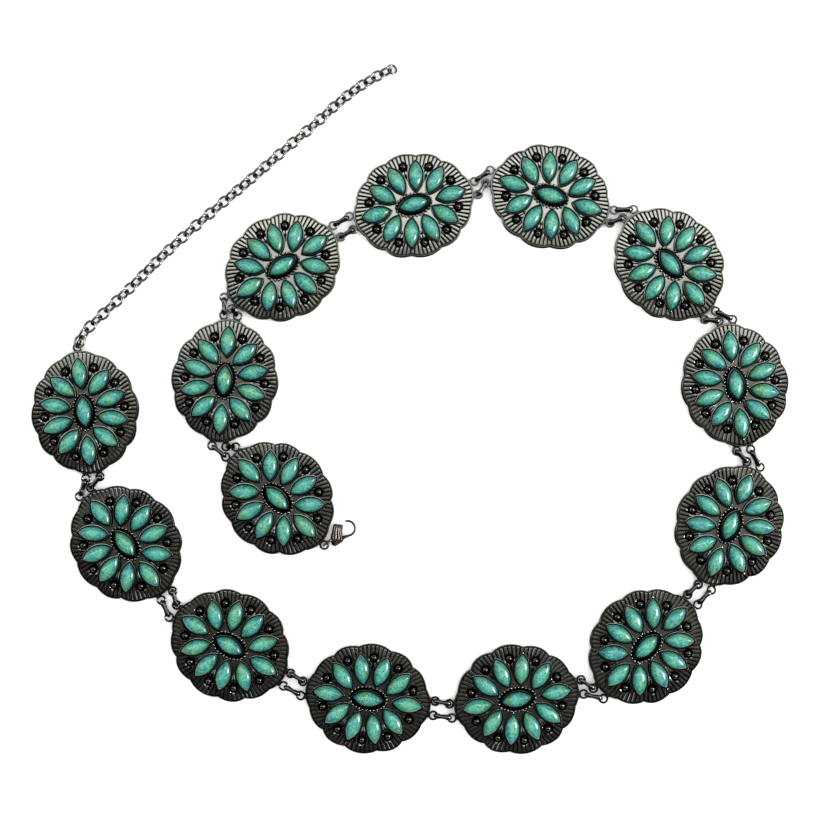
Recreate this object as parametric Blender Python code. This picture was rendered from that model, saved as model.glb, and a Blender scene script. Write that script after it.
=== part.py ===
"""A waist chain of fourteen oval medallions, each set with eleven marquise stones.

Two links join each medallion to the next. The first medallion ends in a hook and the last one in
an extension chain. The belt lies open on a flat surface, in one turn of a spiral.

Metres, +Z up. The backs of the medallions lie in the plane z = 0, and the middle of the belt's
outline is over the origin.
"""

import math

import bmesh
import bpy
from mathutils import Matrix, Vector

COLLECTION_NAME = "waist_chain"
CLEARANCE = 0.00025

# Plate of a medallion, an oval with lobes round its edge
PLATE_LENGTH = 0.0496
PLATE_WIDTH = 0.0428
RIM_THICKNESS = 0.0022
FIELD_HEIGHT = 0.0030
FIELD_SHARE = 0.87
NOTCH_DEPTH = 0.0017
LOBE_STEPS = 3
END_LOBE_STEPS = 2

# Edge of one quarter, from the plate's end to its side. A notch's place is the oval's own angle in
# degrees. How far each notch, and the crest of the lobe after it, lies inside the oval is a share
# of the notch depth. The end lobe's crest lies on the oval.
QUARTER_EDGE = (
    (19.5, 0.66, 0.35),
    (47.3, 1.00, 0.15),
    (74.4, 0.72, 0.00),
)

# Marquise stones, each in a bezel wall that stands on the plate's field
STONE_LENGTH = 0.0130
STONE_WIDTH = 0.0068
STONE_SINK = 0.0005
BEZEL_HEIGHT = 0.0013
DOME_HEIGHT = 0.0017
RIDGE_SHARE = 0.42
STONE_SHOULDER_SHARE = 0.55

# Stones of one quarter: place along and across the plate, as shares of its half length and half
# width, and the stone's own angle in degrees. The other quarters mirror them.
QUARTER_STONES = (
    (0.000, 0.000, 0.0),
    (0.630, 0.000, 0.0),
    (0.445, 0.340, 45.9),
    (0.160, 0.516, 75.0),
)

# Round studs of one quarter, placed in the same way
STUD_RADIUS = 0.0012
STUD_HEIGHT = 0.0012
STUD_SIDES = 5
QUARTER_STUDS = (
    (0.687, 0.262),
    (0.402, 0.621),
    (0.000, 0.748),
)

# Eyes at the plate's ends, flat rings that the links pass through
EYE_SPACING = 0.0056
EYE_WALL = 0.00042
EYE_WEB = 0.00018
EYE_THICKNESS = 0.0007
EYE_ROOT = 0.0016
EYE_SIDES = 6

# Links, long loops of wire that stand on edge, with sides wider than their ends
LINK_PITCH = 0.0068
LINK_HEIGHT = 0.0036
LINK_WIRE = 0.0008
LINK_SHANK_WIDTH = 0.0018
LINK_SIDES = 10
WIRE_SIDES = 5

# Hook at the free end of the first medallion
HOOK_SWING_DEGREES = 83.0
HOOK_LENGTH = 0.01425
HOOK_FAN_THICKNESS = 0.0020
HOOK_WIRE = 0.0009
HOOK_BEND_RADIUS = 0.00295
HOOK_STEPS = 7

# Corners of the hook's fan-shaped body, from the middle of the eye that it hangs in, as shares of
# the hook's length: from the corner by the eye along the far side from the medallion and back
HOOK_FAN = (
    (0.175, -0.105),
    (0.205, -0.215),
    (0.480, -0.235),
    (0.625, -0.160),
    (0.585, -0.060),
    (0.755, 0.125),
    (0.570, 0.300),
    (0.250, 0.040),
)

# The hook's wire: where it leaves the body, as shares of the hook's length, how far the bend's
# middle lies off the hook's line, and where the bend starts and ends
HOOK_WIRE_START = (0.570, -0.170)
HOOK_BEND_OFFSET = -0.035
HOOK_BEND_DEGREES = (-100.0, 68.0)

# Extension chain, a plain tube of the chain's width, between a jump ring and an end ring
CHAIN_WIDTH = 0.0044
CHAIN_STEP_DIAMETERS = 2.8
JUMP_RING_RADIUS = 0.00185
END_RING_RADIUS = 0.0019
RING_WIRE = 0.0009
RING_SIDES = 10

# The belt's walk from each medallion to the next: its turn in degrees, the angle in degrees by
# which the pair of links leans out of line, the distance between the two ends as a share of the
# link pitch, and whether the inner link stands upright because the ends are too close for it.
FIRST_HEADING_DEGREES = 135.4
JOINTS = (
    (-50.0, 43.5, 0.775, True),
    (-51.6, 43.5, 0.775, True),
    (-18.0, 6.5, 0.965, False),
    (-34.0, 45.5, 0.985, False),
    (-33.8, 46.0, 0.980, False),
    (-31.2, 50.0, 0.965, False),
    (-29.4, 41.5, 1.000, False),
    (-23.2, -10.5, 1.005, False),
    (-34.0, -49.5, 0.995, False),
    (-18.6, -10.0, 0.965, False),
    (-22.2, -11.0, 0.990, False),
    (-20.4, -27.5, 0.960, False),
    (-31.2, -51.0, 0.955, False),
)

# The extension chain's route on the surface, from the last medallion's end eye
CHAIN_ROUTE = (
    (0.0017, 0.0041),
    (0.0032, 0.0067),
    (0.0060, 0.0095),
    (0.0099, 0.0133),
    (0.0218, 0.0249),
    (0.0329, 0.0363),
    (0.0449, 0.0476),
    (0.0570, 0.0582),
    (0.0690, 0.0685),
    (0.0816, 0.0798),
    (0.0937, 0.0903),
    (0.1059, 0.1014),
    (0.1140, 0.1075),
    (0.1196, 0.1109),
    (0.1238, 0.1130),
)

OUTER_SIDE = 1
INNER_SIDE = -1

LOOP_RADIUS = (LINK_HEIGHT - LINK_WIRE) / 2
LINK_STRAIGHT = LINK_PITCH - 2 * LOOP_RADIUS
EYE_HEIGHT = LINK_HEIGHT / 2


def heading_vector(radians):
    return Vector((math.cos(radians), math.sin(radians)))


def eye_gap(joint, side):
    """Distance between the two eyes on one side of a joint."""
    turn, lean, reach, _ = joint
    across = side * EYE_SPACING * math.sin(math.radians(turn) / 2)
    middle = heading_vector(math.radians(lean)) * reach * LINK_PITCH
    return (middle - Vector((across, 0.0))).length


def eye_play():
    """The furthest that any link's end lies from the middle of its eye."""
    plays = []
    for joint in JOINTS:
        inner_pitch = 2 * LOOP_RADIUS if joint[3] else LINK_PITCH
        plays.append(abs(eye_gap(joint, OUTER_SIDE) - LINK_PITCH) / 2)
        plays.append(abs(eye_gap(joint, INNER_SIDE) - inner_pitch) / 2)
    return max(plays)


# The bend of the link's end comes closer to the eye at the eye's top and bottom edges
LINK_BEND = math.tan(math.pi / LINK_SIDES) * EYE_THICKNESS / 2
EYE_HOLE_RADIUS = eye_play() + LINK_WIRE / 2 + LINK_BEND + CLEARANCE
EYE_RADIUS = EYE_HOLE_RADIUS + EYE_WALL
EYE_REACH = PLATE_LENGTH / 2 + EYE_WEB + EYE_HOLE_RADIUS


def belt_poses():
    """(middle, heading) of each medallion, in a frame whose origin is the first one's middle."""
    heading = math.radians(FIRST_HEADING_DEGREES)
    middle = Vector((0.0, 0.0))
    poses = [(middle, heading)]
    for turn, lean, reach, _ in JOINTS:
        after = heading + math.radians(turn)
        across = (heading + after) / 2 + math.radians(lean)
        middle = middle + EYE_REACH * (heading_vector(heading) + heading_vector(after))
        middle = middle + reach * LINK_PITCH * heading_vector(across)
        heading = after
        poses.append((middle, heading))
    return poses


def clear_scene():
    for obj in list(bpy.data.objects):
        bpy.data.objects.remove(obj, do_unlink=True)


def make_collection(name, hidden=False):
    collection = bpy.data.collections.new(name)
    collection.hide_render = hidden
    bpy.context.scene.collection.children.link(collection)
    return collection


def make_material(name, colour, roughness, metallic):
    material = bpy.data.materials.new(name)
    material.use_nodes = True
    shader = material.node_tree.nodes["Principled BSDF"]
    shader.inputs["Base Color"].default_value = (*colour, 1.0)
    shader.inputs["Roughness"].default_value = roughness
    shader.inputs["Metallic"].default_value = metallic
    material.diffuse_color = (*colour, 1.0)
    return material


def gunmetal(name):
    return make_material(name, (0.07, 0.065, 0.06), 0.32, 1.0)


def turquoise(name):
    return make_material(name, (0.10, 0.45, 0.36), 0.25, 0.0)


def mesh_object(name, bm, collection, materials=()):
    bmesh.ops.recalc_face_normals(bm, faces=bm.faces)
    mesh = bpy.data.meshes.new(name)
    bm.to_mesh(mesh)
    bm.free()
    for material in materials:
        mesh.materials.append(material)
    obj = bpy.data.objects.new(name, mesh)
    collection.objects.link(obj)
    return obj


def evaluated_mesh(obj, name):
    """The object's mesh with its modifiers applied, and with no edge across a flat face."""
    graph = bpy.context.evaluated_depsgraph_get()
    mesh = bpy.data.meshes.new_from_object(obj.evaluated_get(graph), depsgraph=graph)
    mesh.name = name
    bm = bmesh.new()
    bm.from_mesh(mesh)
    bmesh.ops.remove_doubles(bm, verts=bm.verts, dist=1e-7)
    bmesh.ops.dissolve_limit(
        bm, angle_limit=math.radians(0.2), verts=bm.verts, edges=bm.edges, delimit={"MATERIAL"}
    )
    bm.to_mesh(mesh)
    bm.free()
    return mesh


def join_to(obj, other):
    union = obj.modifiers.new("join_" + other.name, "BOOLEAN")
    union.operation = "UNION"
    union.solver = "EXACT"
    union.object = other


def mirrored_places(rows):
    """Each row's place and angle in all four quarters, once where it lies on an axis."""
    places = {}
    for x_share, y_share, *angle in rows:
        own = angle[0] if angle else 0.0
        for x_sign in (1, -1):
            for y_sign in (1, -1):
                x = round(x_sign * x_share, 4) + 0.0
                y = round(y_sign * y_share, 4) + 0.0
                places[(x, y)] = math.radians(x_sign * y_sign * own)
    return [
        (x * PLATE_LENGTH / 2, y * PLATE_WIDTH / 2, angle) for (x, y), angle in places.items()
    ]


def lobes():
    """(first notch, last notch, crest) of every lobe, all the way round.

    A notch is its angle on the oval and its depth inside it, and a crest is a depth.
    """
    notches = [(math.radians(degrees), share * NOTCH_DEPTH) for degrees, share, _ in QUARTER_EDGE]
    crests = [share * NOTCH_DEPTH for _, _, share in QUARTER_EDGE]
    half = notches + [(math.pi - angle, depth) for angle, depth in reversed(notches)]
    around = half + [(math.pi + angle, depth) for angle, depth in half]
    half_crests = crests + crests[-2::-1] + [0.0]
    first_angle, first_depth = around[0]
    after = around[1:] + [(first_angle + 2 * math.pi, first_depth)]
    return list(zip(around, after, half_crests * 2))


def ellipse_point(angle, shrink=0.0, share=1.0):
    return Vector((
        share * (PLATE_LENGTH / 2 - shrink) * math.cos(angle),
        share * (PLATE_WIDTH / 2 - shrink) * math.sin(angle),
    ))


def lobe_arc(start, end, crest):
    """Points of one lobe from its first notch up to, but without, its last notch."""
    points = []
    (start_angle, start_depth), (end_angle, end_depth) = start, end
    at_end = abs(math.cos((start_angle + end_angle) / 2)) > 0.99
    steps = END_LOBE_STEPS if at_end else LOBE_STEPS
    for step in range(steps):
        share = step / steps
        valley = start_depth + (end_depth - start_depth) * share
        depth = valley + (crest - valley) * math.sin(math.pi * share)
        points.append(ellipse_point(start_angle + (end_angle - start_angle) * share, depth))
    return points


def plate_cage():
    """The plate: scalloped walls, a sloping rim, and a flat field with one corner a notch."""
    bm = bmesh.new()
    low, edges, field = [], [], []
    for start, end, crest in lobes():
        arc = lobe_arc(start, end, crest)
        low += [bm.verts.new((*point, 0.0)) for point in arc]
        edges.append([bm.verts.new((*point, RIM_THICKNESS)) for point in arc])
        field.append(bm.verts.new((*ellipse_point(start[0], share=FIELD_SHARE), FIELD_HEIGHT)))
    high = [vert for lobe in edges for vert in lobe]
    count = len(low)
    for i in range(count):
        after = (i + 1) % count
        bm.faces.new((low[i], low[after], high[after], high[i]))
    for i, lobe in enumerate(edges):
        after = (i + 1) % len(edges)
        edge = lobe + [edges[after][0]]
        half = len(lobe) // 2
        for k, (first, second) in enumerate(zip(edge, edge[1:])):
            bm.faces.new((first, second, field[i] if k < half else field[after]))
        bm.faces.new((edge[half], field[after], field[i]))
    bm.faces.new(field)
    bm.faces.new(low)
    return bm


def marquise_outline():
    """Tip, shoulder, waist and so on of a pointed oval whose two sides are round arcs."""
    half_length = STONE_LENGTH / 2
    half_width = STONE_WIDTH / 2
    arc_radius = (half_length**2 + half_width**2) / (2 * half_width)
    shoulder_x = STONE_SHOULDER_SHARE * half_length
    shoulder_y = math.sqrt(arc_radius**2 - shoulder_x**2) - (arc_radius - half_width)
    side = [(half_length, 0.0), (shoulder_x, shoulder_y), (0.0, half_width)]
    top = side + [(-shoulder_x, shoulder_y)]
    return top + [(-x, -y) for x, y in top]


def stones_cage():
    """Every stone of a medallion as a roofed block whose foot is sunk into the field."""
    bm = bmesh.new()
    outline = marquise_outline()
    count = len(outline)
    girdle = FIELD_HEIGHT + BEZEL_HEIGHT
    crown = girdle + DOME_HEIGHT
    ridge = RIDGE_SHARE * STONE_LENGTH / 2
    for x, y, angle in mirrored_places(QUARTER_STONES):
        spot = Matrix.Translation((x, y, 0.0)) @ Matrix.Rotation(angle, 4, "Z")
        low = [bm.verts.new(spot @ Vector((*p, FIELD_HEIGHT - STONE_SINK))) for p in outline]
        high = [bm.verts.new(spot @ Vector((*p, girdle))) for p in outline]
        near = bm.verts.new(spot @ Vector((ridge, 0.0, crown)))
        far = bm.verts.new(spot @ Vector((-ridge, 0.0, crown)))
        bm.faces.new(low)
        roof = []
        for k, (px, _) in enumerate(outline):
            after = (k + 1) % count
            bm.faces.new((low[k], low[after], high[after], high[k]))
            ridge_end = near if px + outline[after][0] > 0 else far
            roof.append(bm.faces.new((high[k], high[after], ridge_end)))
            if abs(px) < 1e-9:
                roof.append(bm.faces.new((high[k], near, far)))
        for face in roof:
            face.material_index = 1
    return bm


def studs_cage():
    """Every stud of a medallion as a low cone whose foot is sunk into the field."""
    bm = bmesh.new()
    depth = STUD_HEIGHT + STONE_SINK
    foot_radius = STUD_RADIUS * depth / STUD_HEIGHT
    for x, y, _ in mirrored_places(QUARTER_STUDS):
        middle = Vector((x, y, FIELD_HEIGHT - STONE_SINK + depth / 2))
        bmesh.ops.create_cone(
            bm,
            cap_ends=True,
            segments=STUD_SIDES,
            radius1=foot_radius,
            radius2=0.0,
            depth=depth,
            matrix=Matrix.Translation(middle),
        )
    return bm


def eye_places(single_end):
    """Middles of a medallion's eyes: two at each end, or one where the belt ends."""
    places = [(EYE_REACH, side * EYE_SPACING / 2) for side in (OUTER_SIDE, INNER_SIDE)]
    if single_end:
        return places + [(-EYE_REACH, 0.0)]
    return places + [(-x, -y) for x, y in places]


def eyes_cage(single_end):
    """Flat rings whose outer sides run on into the plate's edge."""
    bm = bmesh.new()
    corner = 1 / math.cos(math.pi / EYE_SIDES)
    for x, y in eye_places(single_end):
        loops = []
        for radius, z_sign in (
            (EYE_HOLE_RADIUS, -1),
            (EYE_RADIUS, -1),
            (EYE_RADIUS, 1),
            (EYE_HOLE_RADIUS, 1),
        ):
            height = EYE_HEIGHT + z_sign * EYE_THICKNESS / 2
            loop = []
            for k in range(EYE_SIDES):
                out = heading_vector(2 * math.pi * k / EYE_SIDES) * radius * corner
                if radius == EYE_RADIUS and out.x * x < -1e-9:
                    out.x -= math.copysign(EYE_ROOT, x)
                loop.append(bm.verts.new((x + out.x, y + out.y, height)))
            loops.append(loop)
        for loop, following in zip(loops, loops[1:] + loops[:1]):
            for k in range(EYE_SIDES):
                after = (k + 1) % EYE_SIDES
                bm.faces.new((loop[k], loop[after], following[after], following[k]))
    return bm


def medallion_mesh(name, helpers, materials, single_end=False):
    """One body: the plate with its stones, studs and eyes."""
    plate = mesh_object(name + "_plate", plate_cage(), helpers, materials)
    cages = (
        ("_stones", stones_cage()),
        ("_studs", studs_cage()),
        ("_eyes", eyes_cage(single_end)),
    )
    for suffix, cage in cages:
        join_to(plate, mesh_object(name + suffix, cage, helpers, materials))
    return evaluated_mesh(plate, name)


def ring_cage(radius, wire, sides):
    """A round ring of wire that lies flat round the origin."""
    bpy.ops.mesh.primitive_torus_add(
        major_segments=sides,
        minor_segments=WIRE_SIDES,
        major_radius=radius,
        minor_radius=wire / 2,
    )
    ring = bpy.context.object
    bm = bmesh.new()
    bm.from_mesh(ring.data)
    bpy.data.objects.remove(ring, do_unlink=True)
    return bm


def loop_cage(straight, shank_width):
    """A ring stood on edge along X and drawn out by the straight length, wider on the way."""
    bm = ring_cage(LOOP_RADIUS, LINK_WIRE, LINK_SIDES)
    bmesh.ops.rotate(bm, verts=bm.verts, matrix=Matrix.Rotation(math.pi / 2, 3, "X"))
    for vert in bm.verts:
        toward_end = min(1.0, abs(vert.co.x) / LOOP_RADIUS)
        widening = shank_width / LINK_WIRE
        vert.co.y *= widening + (1 - widening) * toward_end
        vert.co.x += math.copysign(straight / 2, vert.co.x)
    return bm


def smooth_rounds(mesh, degrees=50.0):
    mesh.shade_smooth()
    mesh.set_sharp_from_angle(angle=math.radians(degrees))


def wire_tube(name, points, wire, helpers):
    """A closed mesh tube along the points."""
    curve = bpy.data.curves.new(name, "CURVE")
    curve.dimensions = "3D"
    curve.bevel_depth = wire / 2
    curve.bevel_resolution = 1
    curve.use_fill_caps = True
    spline = curve.splines.new("POLY")
    spline.points.add(len(points) - 1)
    for spline_point, point in zip(spline.points, points):
        spline_point.co = (*point, 1.0)
    obj = bpy.data.objects.new(name, curve)
    helpers.objects.link(obj)
    mesh = evaluated_mesh(obj, name)
    bpy.data.objects.remove(obj, do_unlink=True)
    tube = bpy.data.objects.new(name, mesh)
    helpers.objects.link(tube)
    return tube


def hook_mesh(helpers, material):
    """The hook: a loop for the eye, a fan-shaped body and a hook of round wire.

    Its line runs along +X from the middle of the eye, and its mouth is on the +Y side.
    """
    fan = bmesh.new()
    low_height = EYE_HEIGHT - HOOK_FAN_THICKNESS / 2
    low = [fan.verts.new((x * HOOK_LENGTH, y * HOOK_LENGTH, low_height)) for x, y in HOOK_FAN]
    base = fan.faces.new(low)
    raised = bmesh.ops.extrude_face_region(fan, geom=[base])["geom"]
    lifted = [item for item in raised if isinstance(item, bmesh.types.BMVert)]
    bmesh.ops.translate(fan, verts=lifted, vec=(0.0, 0.0, HOOK_FAN_THICKNESS))
    body = mesh_object("hook_fan", fan, helpers, (material,))

    # The loop's near bend is in the middle of the eye, and its far bend is inside the body
    corner_x = HOOK_FAN[-1][0] * HOOK_LENGTH
    loop_reach = corner_x + LINK_WIRE
    loop = loop_cage(loop_reach - 2 * LOOP_RADIUS, LINK_WIRE)
    bmesh.ops.translate(loop, verts=loop.verts, vec=(loop_reach / 2, 0.0, EYE_HEIGHT))
    join_to(body, mesh_object("hook_loop", loop, helpers, (material,)))

    bend_middle = Vector((HOOK_LENGTH - HOOK_BEND_RADIUS, HOOK_BEND_OFFSET * HOOK_LENGTH))
    bend_start, bend_end = (math.radians(degrees) for degrees in HOOK_BEND_DEGREES)
    points = [(HOOK_WIRE_START[0] * HOOK_LENGTH, HOOK_WIRE_START[1] * HOOK_LENGTH, EYE_HEIGHT)]
    for step in range(HOOK_STEPS + 1):
        turn = bend_start + (bend_end - bend_start) * step / HOOK_STEPS
        point = bend_middle + heading_vector(turn) * HOOK_BEND_RADIUS
        points.append((point.x, point.y, EYE_HEIGHT))
    join_to(body, wire_tube("hook_wire", points, HOOK_WIRE, helpers))
    return evaluated_mesh(body, "hook")


def place(mesh, name, collection, parent, matrix):
    obj = bpy.data.objects.new(name, mesh)
    collection.objects.link(obj)
    obj.parent = parent
    obj.matrix_local = matrix
    return obj


def standing_on(middle, heading, height=0.0):
    spot = Vector((middle.x, middle.y, height))
    return Matrix.Translation(spot) @ Matrix.Rotation(heading, 4, "Z")


def eye_point(pose, x, y):
    middle, heading = pose
    return middle + Matrix.Rotation(heading, 2) @ Vector((x, y))


def add_medallions(poses, collection, parent, helpers):
    metal = gunmetal("medallion_gunmetal")
    stone = turquoise("medallion_turquoise")
    middle_mesh = medallion_mesh("medallion", helpers, (metal, stone))
    end_mesh = medallion_mesh("end_medallion", helpers, (metal, stone), single_end=True)
    last = len(poses) - 1
    for i, (middle, heading) in enumerate(poses):
        mesh = end_mesh if i in (0, last) else middle_mesh
        turned = heading + (math.pi if i == last else 0.0)
        place(mesh, f"medallion_{i + 1:02d}", collection, parent, standing_on(middle, turned))


def add_links(poses, collection, parent):
    metal = gunmetal("link_gunmetal")
    cage = loop_cage(LINK_STRAIGHT, LINK_SHANK_WIDTH)
    bmesh.ops.recalc_face_normals(cage, faces=cage.faces)
    mesh = bpy.data.meshes.new("link")
    cage.to_mesh(mesh)
    cage.free()
    mesh.materials.append(metal)
    smooth_rounds(mesh)
    upright = Matrix.Rotation(-math.pi / 2, 4, "Y")
    for i, (before, after, joint) in enumerate(zip(poses, poses[1:], JOINTS)):
        for side, word in ((OUTER_SIDE, "outer"), (INNER_SIDE, "inner")):
            start = eye_point(before, EYE_REACH, side * EYE_SPACING / 2)
            end = eye_point(after, -EYE_REACH, side * EYE_SPACING / 2)
            along = end - start
            heading = math.atan2(along.y, along.x)
            middle = (start + end) / 2
            if joint[3] and side == INNER_SIDE:
                height = EYE_HEIGHT + LINK_STRAIGHT / 2
                matrix = standing_on(middle, heading, height) @ upright
            else:
                matrix = standing_on(middle, heading, EYE_HEIGHT)
            place(mesh, f"link_{word}_{i + 1:02d}", collection, parent, matrix)


def add_hook(pose, collection, parent, helpers):
    metal = gunmetal("hook_gunmetal")
    mesh = hook_mesh(helpers, metal)
    smooth_rounds(mesh)
    eye = eye_point(pose, -EYE_REACH, 0.0)
    heading = pose[1] + math.pi + math.radians(HOOK_SWING_DEGREES)
    place(mesh, "hook_clasp", collection, parent, standing_on(eye, heading))


def smooth_route(points, step):
    """Points about one step apart on a Catmull-Rom curve through the given points."""
    knots = [Vector(point) for point in points]
    knots = [2 * knots[0] - knots[1]] + knots + [2 * knots[-1] - knots[-2]]
    dense = []
    per_span = 12
    for a, b, c, d in zip(knots, knots[1:], knots[2:], knots[3:]):
        for k in range(per_span):
            t = k / per_span
            dense.append(0.5 * (
                2 * b + (c - a) * t + (2 * a - 5 * b + 4 * c - d) * t**2
                + (3 * b - a - 3 * c + d) * t**3
            ))
    dense.append(knots[-2])
    length = sum((q - p).length for p, q in zip(dense, dense[1:]))
    spans = round(length / step)
    spaced, walked, target = [dense[0]], 0.0, length / spans
    for p, q in zip(dense, dense[1:]):
        walked += (q - p).length
        if walked >= target - 1e-9 and len(spaced) < spans:
            spaced.append(q)
            target += length / spans
    return spaced + [dense[-1]]


def add_extension_chain(pose, collection, parent):
    """A tube of the chain's width on the surface, with a ring at each of its ends."""
    metal = gunmetal("chain_gunmetal")
    eye = eye_point(pose, EYE_REACH, 0.0)
    route = [eye + Vector(point) for point in CHAIN_ROUTE]

    first_step = route[0] - eye
    heading = math.atan2(first_step.y, first_step.x)
    ring_height = JUMP_RING_RADIUS + RING_WIRE / 2
    drop = ring_height - EYE_HEIGHT
    reach = math.sqrt(JUMP_RING_RADIUS**2 - drop**2)
    cage = ring_cage(JUMP_RING_RADIUS, RING_WIRE, RING_SIDES)
    bmesh.ops.rotate(cage, verts=cage.verts, matrix=Matrix.Rotation(math.pi / 2, 3, "X"))
    ring = mesh_object("jump_ring", cage, collection, (metal,))
    smooth_rounds(ring.data)
    ring.parent = parent
    middle = eye + reach * heading_vector(heading)
    ring.matrix_local = standing_on(middle, heading, ring_height)

    clear_start = middle + (JUMP_RING_RADIUS + RING_WIRE / 2 + CLEARANCE) * heading_vector(heading)
    points = smooth_route([clear_start] + route[1:], CHAIN_STEP_DIAMETERS * CHAIN_WIDTH)
    curve = bpy.data.curves.new("extension_chain", "CURVE")
    curve.dimensions = "3D"
    curve.bevel_depth = CHAIN_WIDTH / 2
    curve.bevel_resolution = 2
    curve.use_fill_caps = True
    spline = curve.splines.new("POLY")
    spline.points.add(len(points) - 1)
    for spline_point, point in zip(spline.points, points):
        spline_point.co = (point.x, point.y, CHAIN_WIDTH / 2, 1.0)
    curve.materials.append(metal)
    tube = bpy.data.objects.new("extension_chain", curve)
    collection.objects.link(tube)
    tube.parent = parent

    last_step = (points[-1] - points[-2]).normalized()
    end_middle = points[-1] + (END_RING_RADIUS + RING_WIRE / 2 + CLEARANCE) * last_step
    cage = ring_cage(END_RING_RADIUS, RING_WIRE, RING_SIDES)
    end_ring = mesh_object("end_ring", cage, collection, (metal,))
    smooth_rounds(end_ring.data)
    end_ring.parent = parent
    end_ring.matrix_local = standing_on(end_middle, 0.0, RING_WIRE / 2)


def outline_middle(collection):
    """The middle of all the parts' outline, seen from above."""
    bpy.context.view_layer.update()
    graph = bpy.context.evaluated_depsgraph_get()
    xs, ys = [], []
    for obj in collection.objects:
        if obj.type == "EMPTY":
            continue
        evaluated = obj.evaluated_get(graph)
        mesh = evaluated.to_mesh()
        for vert in mesh.vertices:
            spot = evaluated.matrix_world @ vert.co
            xs.append(spot.x)
            ys.append(spot.y)
        evaluated.to_mesh_clear()
    return Vector(((min(xs) + max(xs)) / 2, (min(ys) + max(ys)) / 2, 0.0))


def main():
    clear_scene()
    collection = make_collection(COLLECTION_NAME)
    helpers = make_collection("helpers", hidden=True)
    belt = bpy.data.objects.new("belt", None)
    collection.objects.link(belt)

    poses = belt_poses()
    add_medallions(poses, collection, belt, helpers)
    add_links(poses, collection, belt)
    add_hook(poses[0], collection, belt, helpers)
    add_extension_chain(poses[-1], collection, belt)

    for helper in list(helpers.objects):
        bpy.data.objects.remove(helper, do_unlink=True)
    belt.location = -outline_middle(collection)


main()
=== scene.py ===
"""Looks of the waist chain: cast medallions with turquoise stones, links, hook and chain."""

import math

import bpy
import numpy as np
from mathutils import Matrix, Vector


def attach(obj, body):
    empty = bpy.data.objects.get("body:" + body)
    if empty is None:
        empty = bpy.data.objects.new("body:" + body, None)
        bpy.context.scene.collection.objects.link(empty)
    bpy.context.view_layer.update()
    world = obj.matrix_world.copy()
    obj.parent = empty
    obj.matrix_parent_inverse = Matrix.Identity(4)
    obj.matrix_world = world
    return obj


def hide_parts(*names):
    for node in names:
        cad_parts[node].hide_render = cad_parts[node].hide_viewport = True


MM = 0.001

# Sizes that the solids have too
PLATE_LENGTH = 49.6 * MM
PLATE_WIDTH = 42.8 * MM
NOTCH_DEPTH = 1.7 * MM
CROWN_HEIGHT = 6.0 * MM
EYE_SPACING = 5.6 * MM
EYE_HOLE_RADIUS = 1.34 * MM
EYE_RADIUS = 1.76 * MM
EYE_REACH = 26.32 * MM
EYE_HEIGHT = 1.8 * MM
LINK_PITCH = 6.8 * MM
LINK_HEIGHT = 3.6 * MM
LINK_WIRE = 0.8 * MM
HOOK_SWING_DEGREES = 83.0
HOOK_LENGTH = 14.25 * MM
HOOK_BEND_RADIUS = 2.95 * MM
CHAIN_HEIGHT = 2.4 * MM

# Edge of one quarter: the notch's angle on the oval, and the depths of the notch and of the next
# lobe's crest inside the oval, as shares of the notch depth
QUARTER_EDGE = (
    (19.5, 0.66, 0.35),
    (47.3, 1.00, 0.15),
    (74.4, 0.72, 0.00),
)

# Stones of one quarter: place as shares of the half length and half width, and own angle
QUARTER_STONES = (
    (0.000, 0.000, 0.0),
    (0.630, 0.000, 0.0),
    (0.445, 0.340, 45.9),
    (0.160, 0.516, 75.0),
)
QUARTER_STUDS = (
    (0.687, 0.262),
    (0.402, 0.621),
    (0.000, 0.748),
)
STONE_LENGTH = 12.1 * MM
STONE_WIDTH = 5.95 * MM
STONE_BASE_HEIGHT = 3.55 * MM
GIRDLE_HEIGHT = 4.00 * MM
STUD_RADIUS = 1.2 * MM
STUD_HEIGHT = 3.05 * MM

RIB_COUNT = 80
BEAD_COUNT = 26
BEAD_RADIUS = 0.56 * MM
BEAD_HEIGHT = 3.40 * MM
BEAD_OVAL = (7.35 * MM, 4.56 * MM)

# The extension chain's route from the last medallion's end eye, in metres
CHAIN_ROUTE = (
    (0.0017, 0.0041),
    (0.0032, 0.0067),
    (0.0060, 0.0095),
    (0.0099, 0.0133),
    (0.0218, 0.0249),
    (0.0329, 0.0363),
    (0.0449, 0.0476),
    (0.0570, 0.0582),
    (0.0690, 0.0685),
    (0.0816, 0.0798),
    (0.0937, 0.0903),
    (0.1059, 0.1014),
    (0.1140, 0.1075),
    (0.1196, 0.1109),
    (0.1238, 0.1130),
)
CHAIN_PITCH = 3.68 * MM
CHAIN_LINK_LENGTH = 5.7 * MM
CHAIN_LINK_WIDTH = 4.9 * MM
CHAIN_WIRE = 1.06 * MM
# How far each link is turned about the route, by turns
CHAIN_ROLL_DEGREES = (-6.0, 64.0)
# From the end ring's middle back to where the chain's last step ends
CHAIN_END_GAP = 1.2 * MM
END_RING_LEAN_DEGREES = 25.0


def smoothstep(low, high, value):
    share = min(1.0, max(0.0, (value - low) / (high - low)))
    return share * share * (3 - 2 * share)


# Materials


def node(tree, kind, **settings):
    made = tree.nodes.new(kind)
    for key, value in settings.items():
        if key in made.inputs:
            made.inputs[key].default_value = value
        else:
            setattr(made, key, value)
    return made


def ramp(tree, fac, stops):
    made = tree.nodes.new("ShaderNodeValToRGB")
    elements = made.color_ramp.elements
    while len(elements) < len(stops):
        elements.new(0.5)
    for element, (position, colour) in zip(elements, stops):
        element.position = position
        element.color = (*colour, 1.0)
    tree.links.new(fac, made.inputs["Fac"])
    return made.outputs["Color"]


def grey_ramp(tree, fac, *stops):
    return ramp(tree, fac, [(position, (value,) * 3) for position, value in stops])


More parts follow.
